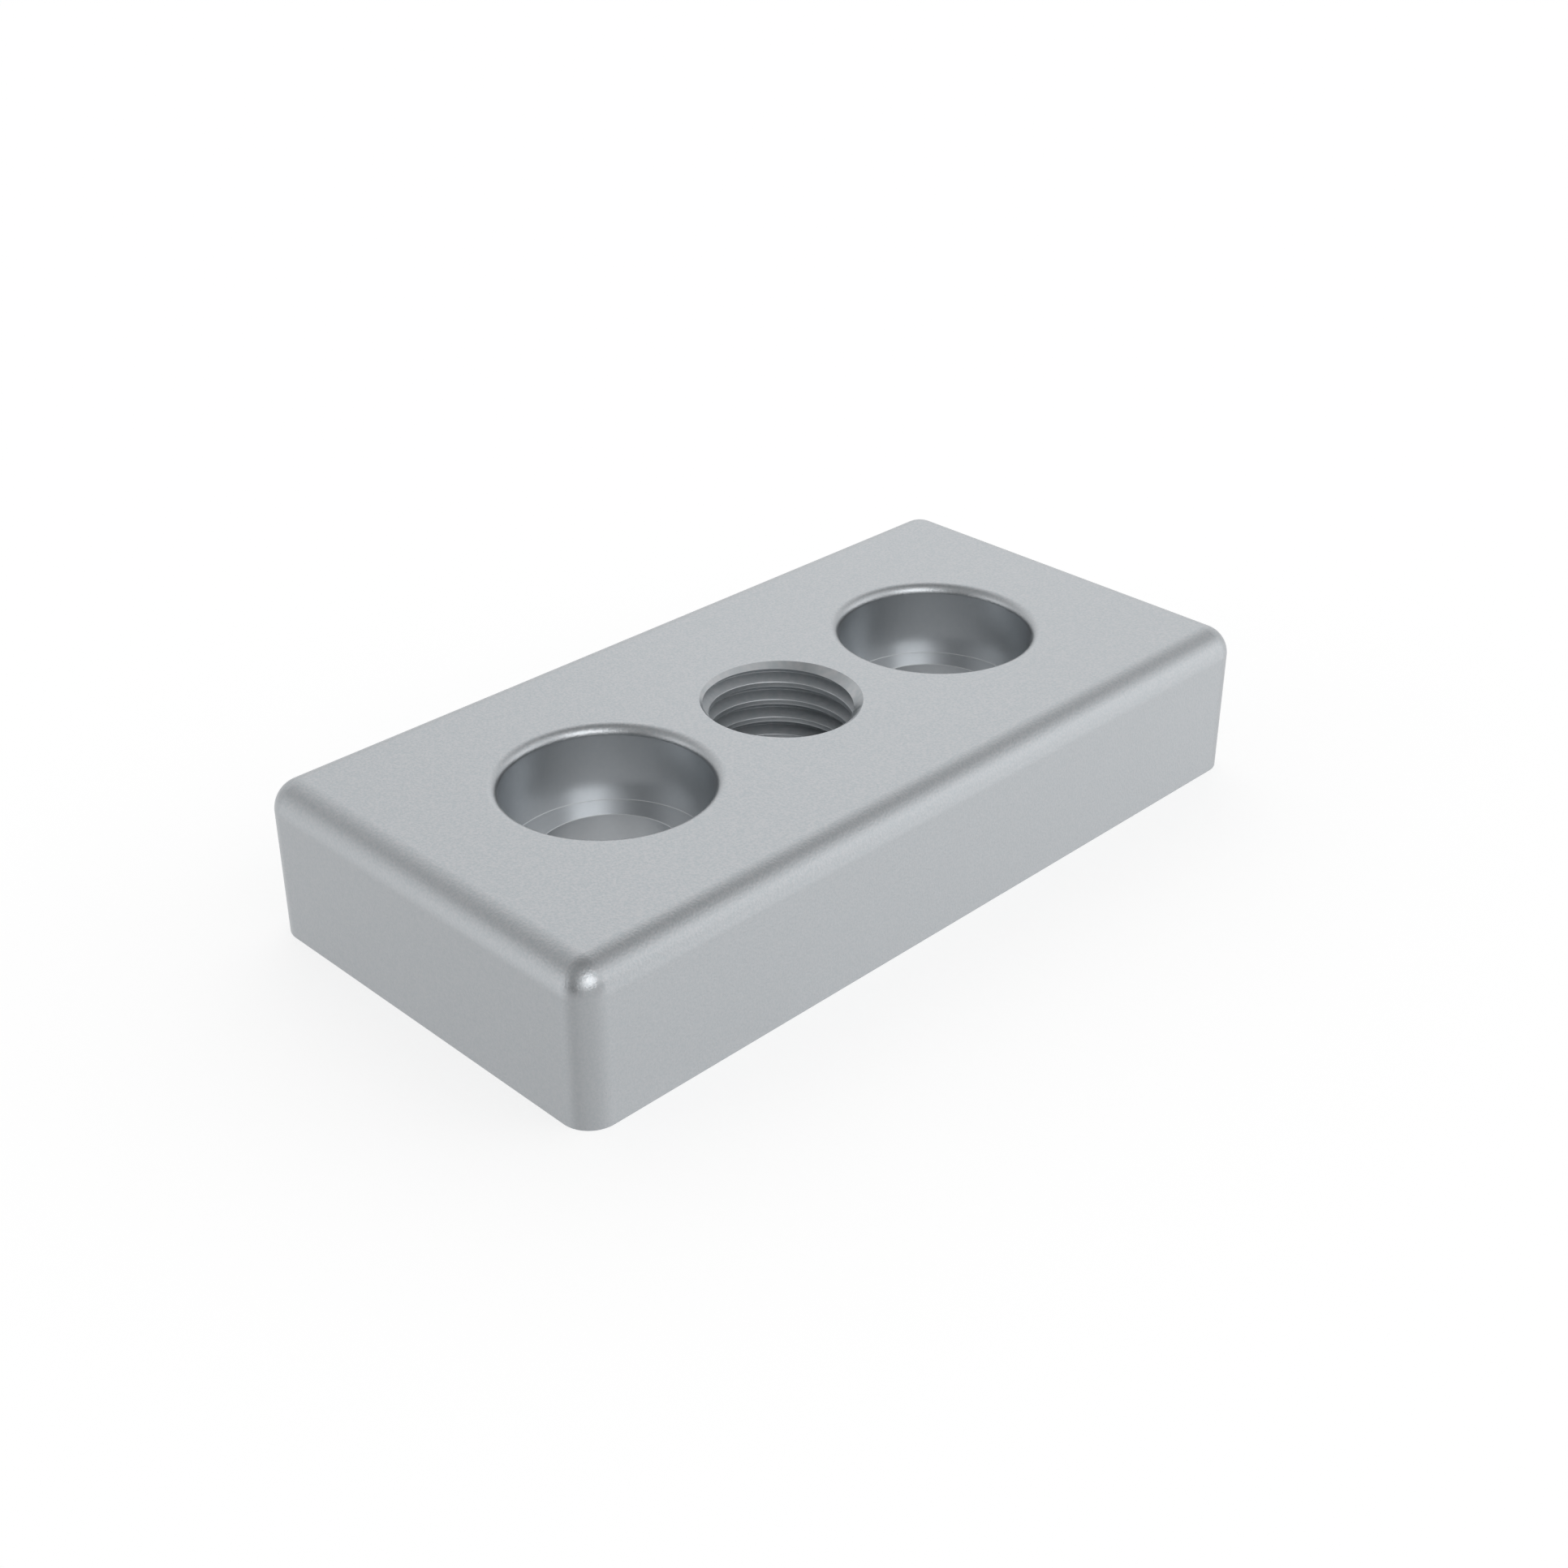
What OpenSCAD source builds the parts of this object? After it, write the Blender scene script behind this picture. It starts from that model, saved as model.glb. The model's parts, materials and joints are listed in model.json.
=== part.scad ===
// End plate for a framing profile two grid widths long: a cast block with a rounded top,
// two counterbored screw holes and one threaded hole between them.
// Millimetres. The underside lies on Z = 0, the length runs along X and the width along Y.

/* [Plate] */
// Length of the plate, along X
plate_length = 90; // [80:1:120]
// Width of the plate, along Y
plate_width = 45; // [36:1:60]
// Thickness of the plate
plate_thickness = 16; // [13:0.5:25]
// Radius of the four upright corners
corner_radius = 3; // [3:0.5:8]
// Radius of the rounding that runs round the top face
edge_radius = 3; // [1:0.5:3]

/* [Screw holes] */
// Distance between the two screw holes
screw_spacing = 45; // [40:1:54]
// Diameter of the hole that the screw passes through
screw_hole_diameter = 14.4; // [10:0.1:16]
// Diameter of the round seat that the screw's head sinks into
seat_diameter = 20; // [18:0.5:22]
// Depth of the seat below the top face
seat_depth = 8; // [4:0.5:10]
// Radius of the rounded lip round the seat's mouth
seat_lip_radius = 1; // [0.5:0.1:1.5]

/* [Threaded hole] */
// Diameter inside the crests of the thread
thread_bore_diameter = 14.2; // [12:0.1:15]
// Diameter of the countersink at both ends of the thread
thread_mouth_diameter = 16; // [15.5:0.1:18]

/* [Hidden] */
// Smoothness of the round surfaces
$fn = 128;
// How far a cutter runs past the face that it opens
cut_past = 1;

// Half of an upright section through a wall: square foot, rounded top edge, reach measured from its inner side
module rounded_section(reach, height, rounding)
{
    square([reach, height - rounding]);
    translate([reach - rounding, height - rounding]) intersection()
    {
        circle(r = rounding);
        square(rounding);
    }
    if (reach > rounding)
        square([reach - rounding, height]);
}

// Both halves of the section, standing on the X axis of the drawing
module full_section(width)
{
    rounded_section(width / 2, plate_thickness, edge_radius);
    mirror([1, 0]) rounded_section(width / 2, plate_thickness, edge_radius);
}

// Block with rounded upright corners and a rounding round its top face
module cast_block()
{
    core_length = plate_length - 2 * corner_radius;
    core_width = plate_width - 2 * corner_radius;

    // the two long sides
    rotate([90, 0, 90]) linear_extrude(core_length, center = true) full_section(plate_width);

    // the two short sides
    rotate([90, 0, 0]) linear_extrude(core_width, center = true) full_section(plate_length);

    // the four corners
    for (x = [-1, 1], y = [-1, 1])
        translate([x * core_length / 2, y * core_width / 2, 0])
            rotate_extrude() rounded_section(corner_radius, plate_thickness, edge_radius);
}

// Cutter of one screw hole: clearance hole, flat-bottomed seat for the head, and rounded lip
module screw_hole()
{
    seat_radius = seat_diameter / 2;
    lip_foot = plate_thickness - seat_lip_radius;
    rotate_extrude()
    {
        translate([0, -cut_past]) square([screw_hole_diameter / 2, plate_thickness]);
        translate([0, plate_thickness - seat_depth]) square([seat_radius, seat_depth + cut_past]);
        difference()
        {
            translate([0, lip_foot]) square([seat_radius + seat_lip_radius, seat_lip_radius + cut_past]);
            translate([seat_radius + seat_lip_radius, lip_foot]) circle(r = seat_lip_radius);
        }
    }
}

// Cutter of the threaded hole: plain bore at the thread's crests, countersunk at 45 degrees at both ends
module thread_hole()
{
    bore_radius = thread_bore_diameter / 2;
    mouth_radius = thread_mouth_diameter / 2;
    chamfer = mouth_radius - bore_radius;
    rotate_extrude() polygon([
        [0, -cut_past],
        [mouth_radius + cut_past, -cut_past],
        [bore_radius, chamfer],
        [bore_radius, plate_thickness - chamfer],
        [mouth_radius + cut_past, plate_thickness + cut_past],
        [0, plate_thickness + cut_past]
    ]);
}

module base_plate()
{
    color([0.72, 0.73, 0.75]) difference()
    {
        cast_block();
        for (side = [-1, 1])
            translate([side * screw_spacing / 2, 0, 0]) screw_hole();
        thread_hole();
    }
}

base_plate();
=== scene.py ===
# %% [markdown]
# # A base plate for a framing profile
#
# The object is one casting: a block 90 mm long with rounded top edges, two deep seats for
# screw heads, and a threaded hole between them for a foot or a castor. This notebook dresses
# the engineering model of that plate: it rebuilds the same block as a finer mesh, cuts the
# turns of the thread that the engineering model leaves out, and gives the metal its finish.
#
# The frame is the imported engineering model. The finished plate lies in its coordinates, in
# metres, with the underside on Z = 0, so nothing has to be fitted afterwards. It could be drawn
# in metres from the start, but a workshop drawing is in millimetres. So the plate is drawn in
# those, and scaled to metres once it is cut.

# %% Load the frame
import json
import math

import bmesh
import bpy
from mathutils import Matrix, Vector


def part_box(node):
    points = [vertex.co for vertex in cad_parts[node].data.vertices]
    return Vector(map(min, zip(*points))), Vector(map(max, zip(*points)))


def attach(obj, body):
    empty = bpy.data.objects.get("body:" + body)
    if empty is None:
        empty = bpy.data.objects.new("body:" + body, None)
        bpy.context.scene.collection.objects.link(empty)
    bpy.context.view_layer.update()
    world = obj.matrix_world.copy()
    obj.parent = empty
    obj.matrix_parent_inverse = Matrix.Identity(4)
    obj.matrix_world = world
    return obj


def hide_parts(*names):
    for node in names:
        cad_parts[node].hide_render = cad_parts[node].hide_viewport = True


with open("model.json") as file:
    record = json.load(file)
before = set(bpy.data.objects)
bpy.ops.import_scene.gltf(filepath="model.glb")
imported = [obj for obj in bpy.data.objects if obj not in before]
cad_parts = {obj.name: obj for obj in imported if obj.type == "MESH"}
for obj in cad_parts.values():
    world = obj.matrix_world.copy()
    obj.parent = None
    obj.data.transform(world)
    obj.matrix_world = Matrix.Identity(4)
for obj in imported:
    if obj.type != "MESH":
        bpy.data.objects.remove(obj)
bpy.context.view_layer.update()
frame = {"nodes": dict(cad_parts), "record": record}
MM = 0.001
print("frame loaded, nodes:", sorted(frame["nodes"]))

# %% [markdown]
# ## The plate's sizes
#
# The frame's record lists the places where the plate is fastened, with their real sizes. Reading
# them from there keeps the picture and the engineering model the same, even when the plate is
# changed later. Only what the record doesn't hold is written here as a number.

# %% Read the sizes
low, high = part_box("base_plate")
length, width, thickness = (high - low) / MM
mounts = {m["name"]: m for m in frame["record"]["mounts"]}
seat = mounts["screw_seat_right"]
seat_radius = seat["dims"]["r_mm"]
seat_wall = seat["dims"]["length_mm"]
seat_floor = seat["pos_m"][2] / MM - seat_wall / 2
lip_radius = thickness - seat_floor - seat_wall
screw_radius = mounts["screw_holes"]["dims"]["hole_r_mm"]
screw_spacing = mounts["screw_holes"]["dims"]["spacing_x_mm"]
thread = mounts["centre_thread"]["dims"]
crest_radius = thread["r_mm"]
countersink = (thickness - thread["length_mm"]) / 2
edge_radius = 3
print(f"plate {length:.1f} x {width:.1f} x {thickness:.1f} mm")
print(f"seats {2 * seat_radius:.1f} mm wide, floor at {seat_floor:.1f} mm, lip {lip_radius:.1f} mm")

# %% [markdown]
# ## The camera
#
# The picture looks down on the plate's front corner: 45 degrees to the left of straight on, and
# 30 degrees above the horizon, through a 50 mm lens on a 36 mm sensor. The camera comes first,
# so that every later step can be judged in the final view. Its place is its distance along the
# line of sight, plus two small steps sideways and up that centre the plate in the square frame.

# %% Place the camera
view_azimuth = math.radians(-45)
view_height = math.radians(30)
view_distance = 0.22033
step_right = 0.00026
step_up = 0.00545
back = Vector((math.sin(view_azimuth) * math.cos(view_height),
               -math.cos(view_azimuth) * math.cos(view_height),
               math.sin(view_height)))
right = Vector((math.cos(view_azimuth), math.sin(view_azimuth), 0))
up = back.cross(right)

lens = bpy.data.cameras.new("view")
lens.lens = 50
lens.sensor_width = 36
lens.clip_start = 0.01
camera = bpy.data.objects.new("view", lens)
camera.matrix_world = Matrix((right, up, back)).transposed().to_4x4()
camera.location = back * view_distance + right * step_right + up * step_up
bpy.context.scene.collection.objects.link(camera)
bpy.context.scene.camera = camera
print("camera at", [round(c, 4) for c in camera.location])

# %% [markdown]
# ## The block
#
# The casting is a block whose upright corners and top edges are rounded by the same radius, so
# that three roundings meet in a ball at each top corner. The bottom edge stays sharp, because it
# lies against the profile's sawn end.
#
# A cube with eight of its edges bevelled has the right faces. The bevel tool only comes close to
# a true ball at the corners, so each point is then pushed out from an inner box by exactly the
# radius, which is how a rounded box is defined.

# %% Make the rounded block
round_steps = 24


def new_piece(name, mesh_source):
    mesh = bpy.data.meshes.new(name)
    mesh_source.to_mesh(mesh)
    mesh_source.free()
    made = bpy.data.objects.new(name, mesh)
    bpy.context.scene.collection.objects.link(made)
    return made


def rounded_block(name):
    work = bmesh.new()
    bmesh.ops.create_cube(work, size=1)
    bmesh.ops.scale(work, vec=(length, width, thickness), verts=work.verts)
    bmesh.ops.translate(work, vec=(0, 0, thickness / 2), verts=work.verts)
    rounded = [e for e in work.edges if max(v.co.z for v in e.verts) > thickness / 2]
    bmesh.ops.bevel(work, geom=rounded, offset=edge_radius, segments=round_steps,
                    profile=0.5, affect="EDGES", clamp_overlap=True)
    for v in work.verts:
        core = Vector((
            max(-length / 2 + edge_radius, min(length / 2 - edge_radius, v.co.x)),
            max(-width / 2 + edge_radius, min(width / 2 - edge_radius, v.co.y)),
            min(thickness - edge_radius, v.co.z),
        ))
        outward = v.co - core
        if outward.length > edge_radius / 2:
            v.co = core + outward.normalized() * edge_radius
    return new_piece(name, work)


plate = rounded_block("plate")
print("block:", len(plate.data.vertices), "points")

# %% [markdown]
# ## Tools that cut
#
# All three holes are cut in the same way: a solid of the shape that is to go is made first, and
# then taken away from the block. The walls of the holes could be built up face by face, but a
# cut finds the edges by itself. A round tool is an outline turned about an axis, which is also
# the shape that a real drill sweeps. The boolean solver named here needs closed solids, and
# leaves a closed solid in return.

# %% Write the helpers for round tools
turn_steps = 192


def arc(centre_radius, centre_z, radius, start, end, steps):
    """Points of a round stretch in the half plane of radius and height; angles in degrees."""
    points = []
    for i in range(steps + 1):
        a = math.radians(start + (end - start) * i / steps)
        points.append((centre_radius + radius * math.cos(a), centre_z + radius * math.sin(a)))
    return points


def turned(name, outline):
    """A closed solid of revolution about Z, from an outline that runs upwards."""
    work = bmesh.new()
    rings = []
    for r, z in outline:
        rings.append([work.verts.new((r * math.cos(2 * math.pi * i / turn_steps),
                                      r * math.sin(2 * math.pi * i / turn_steps), z))
                      for i in range(turn_steps)])
    for lower, upper in zip(rings, rings[1:]):
        for i in range(turn_steps):
            j = (i + 1) % turn_steps
            work.faces.new((lower[i], lower[j], upper[j], upper[i]))
    work.faces.new(list(reversed(rings[0])))
    work.faces.new(rings[-1])
    return new_piece(name, work)


def cut(body, tool):
    """Takes the tool away from the body, and throws the tool away."""
    step = body.modifiers.new("cut", "BOOLEAN")
    step.operation = "DIFFERENCE"
    step.solver = "MANIFOLD"
    step.object = tool
    seen = body.evaluated_get(bpy.context.evaluated_depsgraph_get())
    made = bpy.data.meshes.new_from_object(seen)
    body.modifiers.clear()
    body.data = made
    bpy.data.objects.remove(tool)


print("round tools have", turn_steps, "steps in a turn")

# %% [markdown]
# ## The screw holes
#
# Each screw hole is round all the way down, so one outline makes the whole tool: a clearance
# hole, a flat-bottomed seat for the screw's head, and a lip that rolls over into the top face.
#
# No cutter leaves a perfect corner. The two corners at the seat's floor are broken by a twentieth
# of a millimetre, which is far too little to measure, yet it draws the fine line that the eye
# expects there. The tool runs a millimetre past the faces that it opens, so that no skin is left.

# %% Cut the screw holes
overrun = 1
lip_steps = 16
broken_edge = 0.05
screw_outline = [(screw_radius, -overrun), (screw_radius, seat_floor - broken_edge),
                 (screw_radius + broken_edge, seat_floor),
                 (seat_radius - broken_edge, seat_floor), (seat_radius, seat_floor + broken_edge)]
screw_outline += arc(seat_radius + lip_radius, thickness - lip_radius, lip_radius, 180, 90, lip_steps)
screw_outline.append((seat_radius + lip_radius, thickness + overrun))
for side in (-1, 1):
    tool = turned("screw_hole", screw_outline)
    tool.data.transform(Matrix.Translation((side * screw_spacing / 2, 0, 0)))
    cut(plate, tool)
print("after the screw holes:", len(plate.data.polygons), "faces")

# %% [markdown]
# ## The thread's section
#
# The middle hole takes an M16 spindle. Its turns rise 2 mm each time round, to the right, with
# flanks at 60 degrees to each other, a flat a quarter of the pitch wide on the crests and one an
# eighth wide in the roots.
#
# A thread could be painted on with a bump, but this one is seen from close by, and its profile
# shows at the mouth, so it is cut. First comes the outline of one pitch: straight lines between
# corners that are rounded by a hair. Real crests are never quite sharp, and the rounding is what
# catches the light as a fine line.

# %% Draw the thread's section
pitch = 2
thread_depth = 1.0825
root_radius = crest_radius + thread_depth
crest_flat = pitch / 4
root_flat = pitch / 8
crest_rounding = 0.10
root_rounding = 0.06
rounding_steps = 4
flank_rows = 4


def rounded_corner(before, corner, after, radius):
    """The corner of a polyline as a small arc, in the plane of radius and height."""
    to_before = Vector((before[0] - corner[0], before[1] - corner[1])).normalized()
    to_after = Vector((after[0] - corner[0], after[1] - corner[1])).normalized()
    half = to_before.angle(to_after) / 2
    middle = Vector(corner) + (to_before + to_after).normalized() * radius / math.sin(half)
    start = Vector(corner) + to_before * radius / math.tan(half)
    end = Vector(corner) + to_after * radius / math.tan(half)
    points = []
    for i in range(rounding_steps + 1):
        spoke = (start - middle).normalized().slerp((end - middle).normalized(), i / rounding_steps)
        points.append(tuple(middle + spoke * radius))
    return points


def thread_section():
    """One pitch of the groove's outline, from the middle of one crest to the next."""
    flank_end = pitch / 2 - root_flat / 2
    corners = [(crest_radius, 0), (crest_radius, crest_flat / 2),
               (root_radius, flank_end), (root_radius, pitch - flank_end),
               (crest_radius, pitch - crest_flat / 2), (crest_radius, pitch)]
    roundings = [crest_rounding, root_rounding, root_rounding, crest_rounding]
    points = [corners[0]]
    for i, rounding in enumerate(roundings, start=1):
        points += rounded_corner(corners[i - 1], corners[i], corners[i + 1], rounding)
        starts_a_flank = i in (1, 3)
        if starts_a_flank:
            ends = Vector(points[-1]), Vector(corners[i + 1])
            points += [tuple(ends[0].lerp(ends[1], k / flank_rows)) for k in range(1, flank_rows)]
    return points


print("one pitch of the thread has", len(thread_section()), "points")

# %% [markdown]
# ## The tool that cuts the thread
#
# The section is wound up as one long strip along the helix, closed at both ends, which gives a
# solid with the shape of the whole thread. A screw modifier would make the turns as well, but it
# leaves their ends open, and the strip has to be closed to be cut away. The strip's rows follow
# the edges of the thread, so those stay crisp all the way round. Where the turns start is read
# from the picture, as the height of one crest at a known angle.

# %% Wind the thread's tool
crest_middle = 13.80
crest_middle_angle = 45
columns = 160


def thread_tool(name):
    section = thread_section()
    rows = len(section)
    base = crest_middle - pitch * crest_middle_angle / 360
    first = -math.ceil((base + 2 * pitch) / pitch)
    turns = math.ceil((thickness + 3 * pitch) / pitch) + 1
    work = bmesh.new()
    strip = []
    for c in range(columns):
        a = 2 * math.pi * c / columns
        count = turns * rows + 1 + (rows if c == 0 else 0)
        strip.append([])
        for m in range(count):
            r, h = section[m % rows]
            z = base + pitch * (c / columns + first + m // rows) + h
            strip[c].append(work.verts.new((r * math.cos(a), r * math.sin(a), z)))
    last = turns * rows
    for c in range(columns):
        left = strip[c]
        right_side = strip[c + 1] if c + 1 < columns else strip[0][rows:]
        for m in range(last):
            work.faces.new((left[m], right_side[m], right_side[m + 1], left[m + 1]))
    bottom = [strip[c][0] for c in range(columns)] + [strip[0][m] for m in range(rows, 0, -1)]
    top = [strip[c][last] for c in range(columns)] + [strip[0][m] for m in range(last + rows, last, -1)]
    for ring, flip in ((bottom, True), (top, False)):
        hub = work.verts.new((0, 0, sum(v.co.z for v in ring) / len(ring)))
        for i in range(len(ring)):
            corner = (hub, ring[i], ring[(i + 1) % len(ring)])
            work.faces.new(tuple(reversed(corner)) if flip else corner)
    return new_piece(name, work)


helix = thread_tool("thread_tool")
print("thread's tool:", len(helix.data.polygons), "faces")

# %% [markdown]
# ## The countersinks, and the cut
#
# Both ends of the thread are countersunk at 45 degrees, so that the spindle finds its way in and
# the first turn doesn't burr. The countersinks are cut first and the thread after them, as on the
# real plate, and the groove then runs out through the countersink and a little of the top face.

# %% Cut the countersinks and the thread
def countersink_tool(name):
    reach = countersink + overrun
    outline = [(crest_radius / 2, thickness - countersink), (crest_radius, thickness - countersink),
               (crest_radius + reach, thickness + overrun), (crest_radius / 2, thickness + overrun)]
    return turned(name, outline)


cut(plate, countersink_tool("top_countersink"))
bottom_tool = countersink_tool("bottom_countersink")
bottom_tool.data.transform(Matrix.Translation((0, 0, thickness)) @ Matrix.Scale(-1, 4, (0, 0, 1)))
bottom_tool.data.flip_normals()
cut(plate, bottom_tool)
cut(plate, helix)
print("after the thread:", len(plate.data.polygons), "faces")

# %% [markdown]
# ## Clean edges and even shading
#
# Cut meshes often carry doubled points and needle faces. Merging close points clears them. Edges
# sharper than 25 degrees stay hard, and all others are shaded smooth. The big flat faces get the
# say over the shading where a rounding runs into them, which keeps the flats truly flat. At the
# end the plate is scaled from millimetres to metres.

# %% Clean the mesh
merge_distance = 0.001
hard_angle = 25
clean = bmesh.new()
clean.from_mesh(plate.data)
bmesh.ops.remove_doubles(clean, verts=clean.verts, dist=merge_distance)
bmesh.ops.recalc_face_normals(clean, faces=clean.faces)
clean.to_mesh(plate.data)
open_edges = sum(1 for e in clean.edges if not e.is_manifold)
clean.free()
plate.data.shade_smooth()
plate.data.set_sharp_from_angle(angle=math.radians(hard_angle))
even = plate.modifiers.new("even_shading", "WEIGHTED_NORMAL")
even.keep_sharp = True
even.weight = 100
plate.data.transform(Matrix.Scale(MM, 4))
print("edges that aren't closed:", open_edges)

# %% [markdown]
# ## The metals
#
# The plate is bare metal all over, with no paint on it, but each cut left its own surface. The
# outside and the lips of the seats keep the skin of the casting, blasted to an even satin grey
# with a very fine grain. The seats are turned, so they mirror a little more sharply; their metal
# is also lighter than the skin, partly for the turned finish and partly as painted light that
# brightens the seats and the holes below them. The turns of the thread are torn by the tap and
# look dull, and their metal is a little darker than the skin, as painted shade in the groove.
# Its crests are what the drill left, and their metal is much lighter, also on the first hair of
# their rounded edges: partly the drilled finish, partly a painted highlight along those edges.
# The countersinks are the smoothest of all.
#
# One function makes them all, because bare metal differs in only a few numbers: its colour, its
# roughness, the size and height of its grain in millimetres, and how much the grain's tone
# varies. The tone swings most in the red, so light grains look a little warm and dark ones a
# little blue. The skin's grain shows less on the upright sides than on top, so there are two
# amounts, and how far a surface faces up chooses between them. A picture of real metal would
# give a grain too, but a noise has no seams and no file.

# %% Make the metals
grain_tint = (1.45, 1, 0.9)
usual_noise = (0.3, 0.7)


def metal(name, colour, roughness, grain_size, grain_height, mottle_on_top, mottle_on_sides):
    """Bare metal with a fine grain, whose size and height are in mm."""
    made = bpy.data.materials.new(name)
    made.use_nodes = True
    nodes, links = made.node_tree.nodes, made.node_tree.links
    shader = nodes["Principled BSDF"]
    shader.inputs["Metallic"].default_value = 1
    shader.inputs["Roughness"].default_value = roughness
    place = nodes.new("ShaderNodeTexCoord")
    grain = nodes.new("ShaderNodeTexNoise")
    grain.inputs["Scale"].default_value = 1 / (grain_size * MM)
    grain.inputs["Detail"].default_value = 1
    links.new(place.outputs["Object"], grain.inputs["Vector"])
    bump = nodes.new("ShaderNodeBump")
    bump.inputs["Distance"].default_value = grain_height * MM
    links.new(grain.outputs["Fac"], bump.inputs["Height"])
    links.new(bump.outputs["Normal"], shader.inputs["Normal"])

    def tones(amount):
        tone = nodes.new("ShaderNodeValToRGB")
        dark, light = tone.color_ramp.elements
        dark.position, light.position = usual_noise
        dark.color = (*[c * (1 - amount * tint) for c, tint in zip(colour, grain_tint)], 1)
        light.color = (*[c * (1 + amount * tint) for c, tint in zip(colour, grain_tint)], 1)
        links.new(grain.outputs["Fac"], tone.inputs[0])
        return tone.outputs["Color"]

    facing = nodes.new("ShaderNodeSeparateXYZ")
    links.new(place.outputs["Normal"], facing.inputs[0])
    choose = nodes.new("ShaderNodeMix")
    choose.data_type = "RGBA"
    links.new(facing.outputs["Z"], choose.inputs["Factor"])
    links.new(tones(mottle_on_sides), choose.inputs["A"])
    links.new(tones(mottle_on_top), choose.inputs["B"])
    links.new(choose.outputs["Result"], shader.inputs["Base Color"])
    return made


bare_metal = (0.488, 0.509, 0.528)
# The seats' metal is lighter than the skin, partly for the turned finish and partly as painted light in
# the seats.
turned_metal_with_painted_light = (0.588, 0.608, 0.626)
# The thread's turns are a little darker than the skin, as painted shade in the groove.
tapped_metal_with_painted_shade = (0.462, 0.486, 0.506)
countersunk_metal = (0.500, 0.522, 0.540)
# The crests' metal is much lighter than the rest: partly the drilled finish, partly a painted highlight
# along the crest edges.
drilled_metal_with_painted_highlight = (0.660, 0.686, 0.708)
finishes = {
    "cast": metal("cast_skin", bare_metal, 0.36, 0.24, 0.019, 0.056, 0.028),
    "turned": metal("turned_seat", turned_metal_with_painted_light, 0.32, 0.5, 0.002, 0.01, 0.01),
    "tapped": metal("tapped_thread", tapped_metal_with_painted_shade, 0.58, 0.6, 0.002, 0.04, 0.04),
    "countersunk": metal("countersunk_mouth", countersunk_metal, 0.28, 0.8, 0.002, 0.06, 0.06),
    "drilled": metal("drilled_crests", drilled_metal_with_painted_highlight, 0.45, 0.5, 0.002, 0.03, 0.03),
}
print("metals:", ", ".join(finishes))

# %% [markdown]
# ## Which face gets which metal
#
# The cuts could be told apart while they are made, but the mesh is cleaned afterwards and its
# faces change. It is simpler to ask each finished face where it lies: its distance to the axes
# of the holes says which tool made it, which is also how a drawing would say it. Only the
# countersink and the groove that runs out through it lie equally far out, and there the slope
# of the face decides, since a countersink's wall faces up at 45 degrees.

# %% Give each face its metal
margin = 0.01
# How far the crests' lighter metal, which is partly a painted highlight, reaches onto their rounded
# edges, in mm.
crest_highlight_reach = 0.03
countersink_slope = (0.6, 0.8)


def finish_of(face):
    """The name of a face's finish, from how far its corners lie from the axes of the three holes."""
    corners = [plate.data.vertices[i].co / MM for i in face.vertices]
    from_screw = max(math.hypot(abs(c.x) - screw_spacing / 2, c.y) for c in corners)
    # Faces of the seats and the holes below them get the seats' lighter metal, which is partly painted
    # light.
    if from_screw < seat_radius + margin:
        return "turned"
    from_thread = max(math.hypot(c.x, c.y) for c in corners)
    if from_thread > root_radius + margin:
        return "cast"
    # Crest faces, and the first hair of their rounded edges, get the crests' lighter metal, which is
    # partly a painted highlight.
    if from_thread < crest_radius + crest_highlight_reach:
        return "drilled"
    depth = min(min(c.z, thickness - c.z) for c in corners)
    slopes = countersink_slope[0] < abs(face.normal.z) < countersink_slope[1]
    # Countersink faces get the countersink's metal. The rest of the groove gets the turns' darker
    # metal, which is painted shade.
    return "countersunk" if depth < countersink and slopes else "tapped"


plate.data.materials.clear()
for finish in finishes.values():
    plate.data.materials.append(finish)
names = list(finishes)
for face in plate.data.polygons:
    face.material_index = names.index(finish_of(face))
print("faces of each finish:", {n: sum(f.material_index == i for f in plate.data.polygons)
                                for i, n in enumerate(names)})

# %% [markdown]
# ## Hand the plate to the frame
#
# The dressed plate rides on the frame's only body and stands for its only node. Its mesh takes the
# node's place in every view.

# %% Ride and replace
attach(plate, "root")
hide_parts("base_plate")
print("the plate rides on root and stands for base_plate")

# %% [markdown]
# ## The floor
#
# The plate lies on a plain pale floor. The sides of the plate face the floor and mirror it, so it
# matters how the floor looks from there. For mirrored rays it is a satin board more than a matt
# one: three quarters of it mirror the studio's walls, softly. That gives the sides their slow
# change of tone from end to end. Everything else sees the matt board.

# %% Lay the floor
floor_reach = 2
floor_colour = 0.5
floor_gloss = 0.75
matt_roughness = 0.9
gloss_roughness = 0.2
floor_mesh = bmesh.new()
bmesh.ops.create_grid(floor_mesh, x_segments=1, y_segments=1, size=floor_reach)
floor = new_piece("floor", floor_mesh)
floor_finish = bpy.data.materials.new("floor_finish")
floor_finish.use_nodes = True
floor.data.materials.append(floor_finish)
nodes, links = floor_finish.node_tree.nodes, floor_finish.node_tree.links
matt = nodes["Principled BSDF"]
matt.inputs["Base Color"].default_value = (floor_colour, floor_colour, floor_colour, 1)
matt.inputs["Roughness"].default_value = matt_roughness
matt.inputs["Specular IOR Level"].default_value = 0
gloss = nodes.new("ShaderNodeBsdfGlossy")
gloss.inputs["Roughness"].default_value = gloss_roughness
rays = nodes.new("ShaderNodeLightPath")


def joined(kind, first, second):
    """Two shaders joined by a mix or a sum."""
    node = nodes.new(kind)
    links.new(first, node.inputs[-2])
    links.new(second, node.inputs[-1])
    return node


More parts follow.
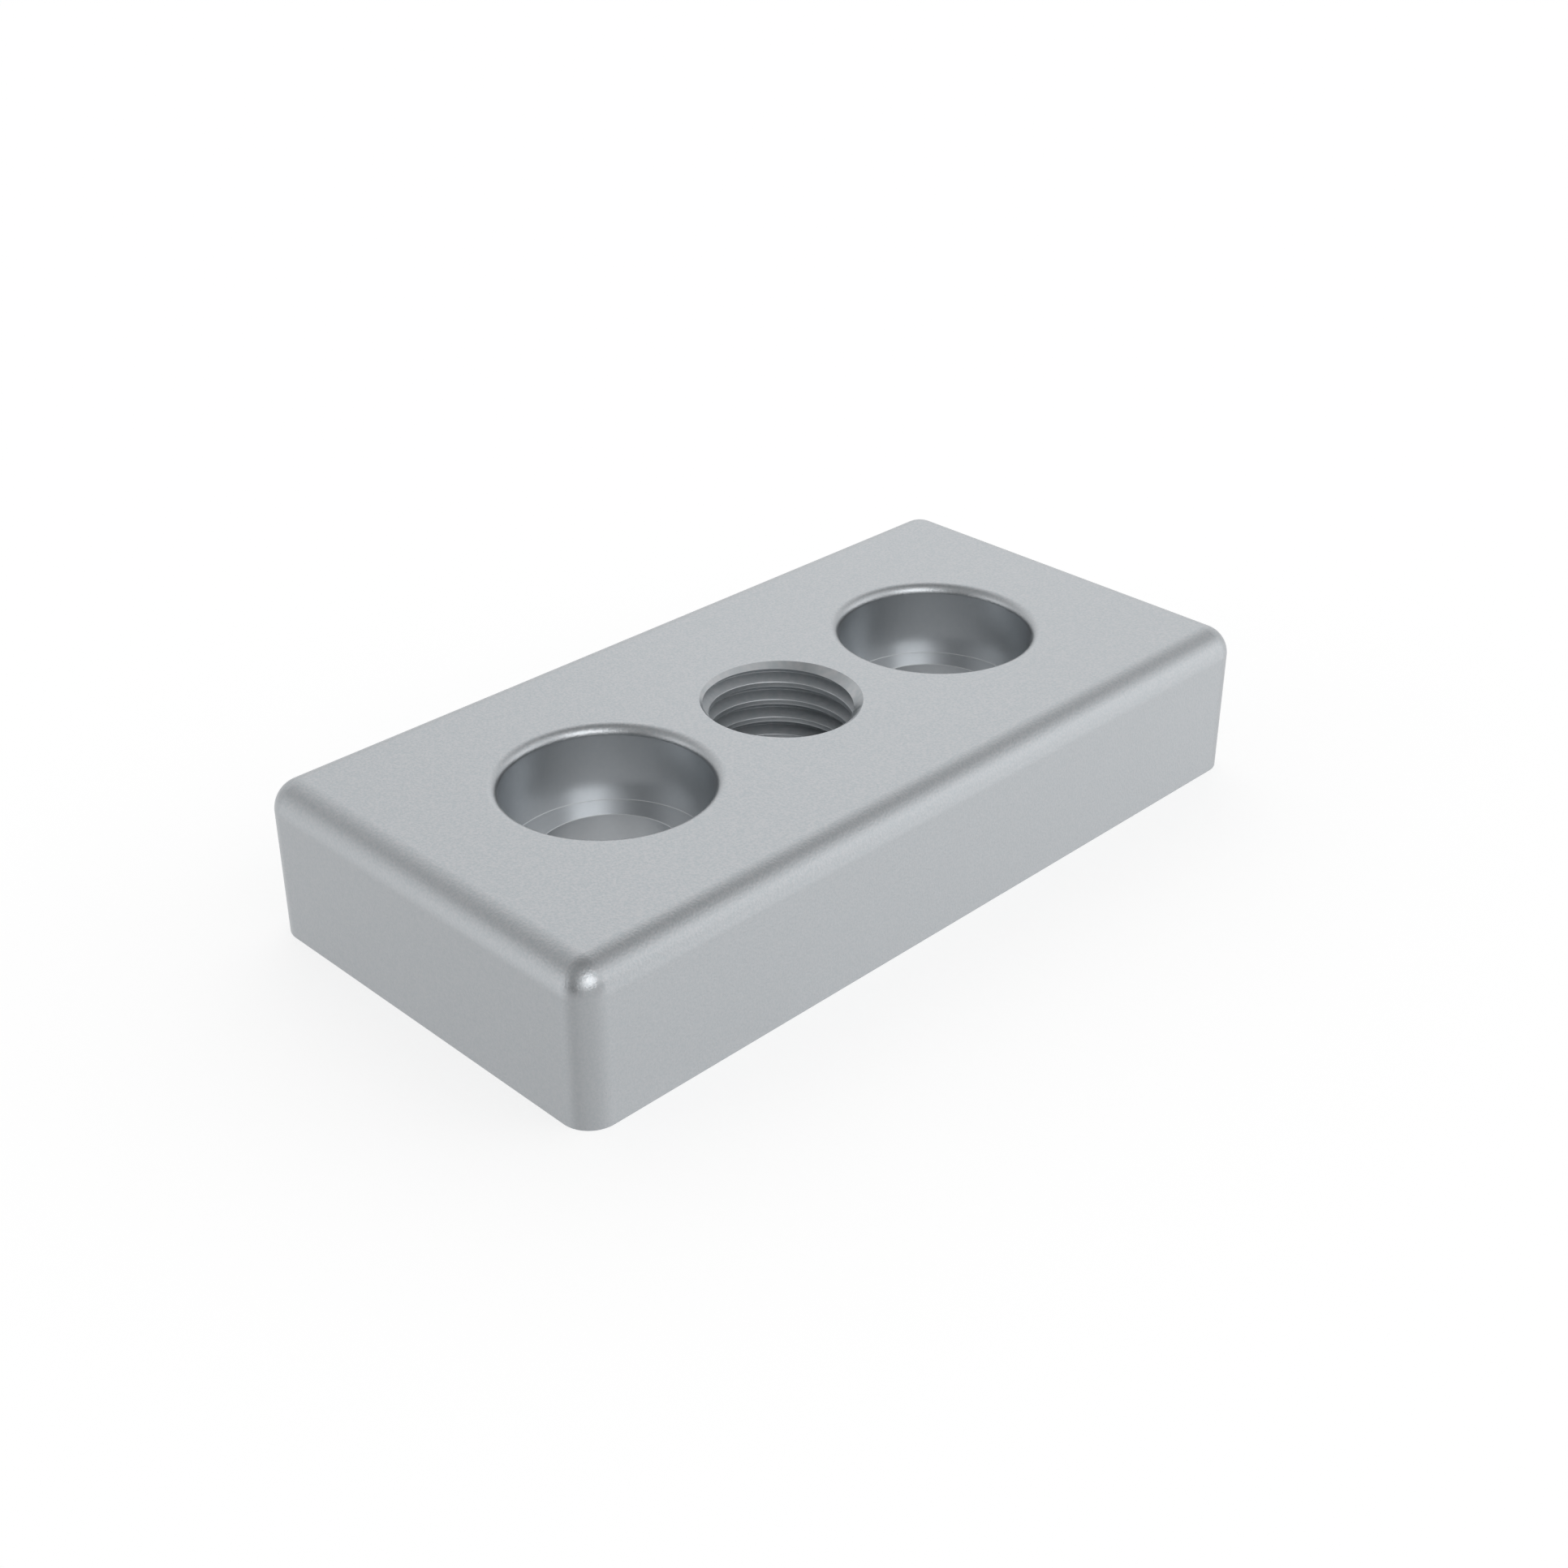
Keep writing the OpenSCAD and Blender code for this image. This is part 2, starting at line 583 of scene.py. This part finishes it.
share = nodes.new("ShaderNodeMath")
share.operation = "MULTIPLY"
share.inputs[1].default_value = floor_gloss
links.new(rays.outputs["Is Glossy Ray"], share.inputs[0])
surface = joined("ShaderNodeMixShader", matt.outputs[0], gloss.outputs[0])
links.new(share.outputs[0], surface.inputs[0])
print("floor:", 2 * floor_reach, "m square")

# %% [markdown]
# ## A white floor that lights nothing
#
# Lit by the studio alone the floor would show as a light grey. More light would whiten it, but
# would wash out the plate as well. So the floor gets a light of its own that only some rays see:
# the camera's, those that pass through anything clear, and, more weakly, those that mirror the
# floor in the metal. The light that it throws back onto the plate stays as it was, and the
# plate's faint shadow stays too.

# %% Whiten the floor for those who look at it
seen_lift = 0.69
mirrored_lift = 0.375


def glow(ray_kind, strength):
    """A white light of the floor's own, only for rays of one kind."""
    light = nodes.new("ShaderNodeEmission")
    times = nodes.new("ShaderNodeMath")
    times.operation = "MULTIPLY"
    times.inputs[1].default_value = strength
    links.new(rays.outputs[ray_kind], times.inputs[0])
    links.new(times.outputs[0], light.inputs["Strength"])
    return light.outputs[0]


for ray_kind, strength in (("Is Camera Ray", seen_lift), ("Is Transmission Ray", seen_lift),
                           ("Is Glossy Ray", mirrored_lift)):
    surface = joined("ShaderNodeAddShader", surface.outputs[0], glow(ray_kind, strength))
links.new(surface.outputs[0], nodes["Material Output"].inputs["Surface"])
print("floor's finish:", len(nodes), "nodes")

# %% [markdown]
# ## The studio's walls
#
# Bare metal has hardly any look of its own: it shows the room. So the room is what makes this
# picture. Its walls are a light grey at the foot and near white from 20 to 50 degrees up, where
# the top face looks, and fall off to a mid grey overhead, which is what draws the grey line along
# each rounded top edge.
#
# The room is a world whose brightness depends on the direction. An image of a room would do as
# well, but this needs no file, and every number in it can be read. The first part is a ramp over
# the height, in degrees above the horizon. A ramp works on the sine of that angle, because that
# is the height on the sphere of directions.

# %% Build the walls
scene = bpy.context.scene
scene.view_settings.view_transform = "Standard"
wall_brightness = [(0, 0.69), (10, 0.70), (20, 0.93), (30, 0.92), (40, 0.97),
                   (50, 0.91), (60, 0.74), (75, 0.44), (90, 0.35)]

world = bpy.data.worlds.new("studio")
world.use_nodes = True
scene.world = world
nodes, links = world.node_tree.nodes, world.node_tree.links
room = nodes.new("ShaderNodeTexCoord").outputs["Generated"]
split = nodes.new("ShaderNodeSeparateXYZ")
links.new(room, split.inputs[0])
ramp = nodes.new("ShaderNodeValToRGB")
links.new(split.outputs["Z"], ramp.inputs[0])
stops = ramp.color_ramp.elements
while len(stops) < len(wall_brightness):
    stops.new(0.5)
for stop, (elevation, brightness) in zip(stops, wall_brightness):
    stop.position = math.sin(math.radians(elevation))
    stop.color = (brightness, brightness, brightness, 1)
print("walls:", len(stops), "steps of brightness")

# %% [markdown]
# ## Screens and gaps
#
# Lighter and darker patches stand for the screens in the room and the gaps between them: most of
# the dark ones are on the side where the camera stands. Each is a bell curve round its own
# direction, given as azimuth, elevation, sharpness and strength, and is added to the walls.
#
# From low down the camera sees past the floor's far edge. For it, and for rays that pass through
# anything clear, the walls are never darker than white. The metal goes on mirroring them as
# they are.

# %% Hang the screens
patches = [
    (-41, 3, 8, 0.70),
    (-38, 33, 12, 0.14),
    (38, 20, 12, 0.27),
    (157, 4, 10, 0.74),
    (-20, 45, 10, -0.53),
    (125, 40, 10, -0.44),
    (-178, 42, 12, -0.47),
    (-168, 5, 8, -0.69),
    (-125, 30, 10, -0.39),
    (-90, 34, 10, -0.14),
    (-85, 2, 12, -0.27),
]


def way(azimuth, elevation):
    """Unit vector for an azimuth counted from +X towards +Y, and an elevation, in degrees."""
    a, e = math.radians(azimuth), math.radians(elevation)
    return Vector((math.cos(a) * math.cos(e), math.sin(a) * math.cos(e), math.sin(e)))


def math_node(operation, *values):
    """A math node of the world, fed with numbers or with other nodes' outputs."""
    node = nodes.new("ShaderNodeMath")
    node.operation = operation
    for socket, value in zip(node.inputs, values):
        if isinstance(value, (int, float)):
            socket.default_value = value
        else:
            links.new(value, socket)
    return node.outputs[0]


total = ramp.outputs[0]
for azimuth, elevation, sharpness, strength in patches:
    towards = nodes.new("ShaderNodeVectorMath")
    towards.operation = "DOT_PRODUCT"
    links.new(room, towards.inputs[0])
    towards.inputs[1].default_value = way(azimuth, elevation)
    closeness = math_node("MULTIPLY_ADD", towards.outputs["Value"], sharpness, -sharpness)
    bell = math_node("EXPONENT", closeness)
    total = math_node("MULTIPLY_ADD", bell, strength, total)
seen_by = nodes.new("ShaderNodeLightPath")
for ray_kind in ("Is Camera Ray", "Is Transmission Ray"):
    total = math_node("MAXIMUM", total, seen_by.outputs[ray_kind])
links.new(total, nodes["Background"].inputs["Strength"])
nodes["Background"].inputs["Color"].default_value = (1, 1, 1, 1)
print("studio:", len(patches), "patches")

# %% [markdown]
# ## The lamps
#
# Two soft round lamps stand in front. The key lamp, on the right, puts the small highlight on the
# near corner and the bright patches where the seats' walls meet their floors. The fill lamp, from
# the camera's side and much weaker, rounds those patches off towards the right.
#
# A satin floor would show both lamps as streaks, so they are linked to the plate: they light it
# and nothing else.

# %% Hang the lamps
lamp_distance = 0.8
lamps = [
    ("key", way(-110, 33), 0.52, 1.22),
    ("fill", way(-135, 22), 0.43, 0.29),
]
lit = bpy.data.collections.new("lit_by_lamps")
lit.objects.link(plate)
for name, lamp_way, size, power in lamps:
    lamp_data = bpy.data.lights.new(name, "AREA")
    lamp_data.shape = "DISK"
    lamp_data.size = size
    lamp_data.energy = power
    lamp = bpy.data.objects.new(name, lamp_data)
    lamp.location = lamp_way * lamp_distance
    lamp.rotation_euler = lamp_way.to_track_quat("Z", "Y").to_euler()
    lamp.light_linking.receiver_collection = lit
    scene.collection.objects.link(lamp)
    print(name, "lamp at", [round(c, 3) for c in lamp.location])
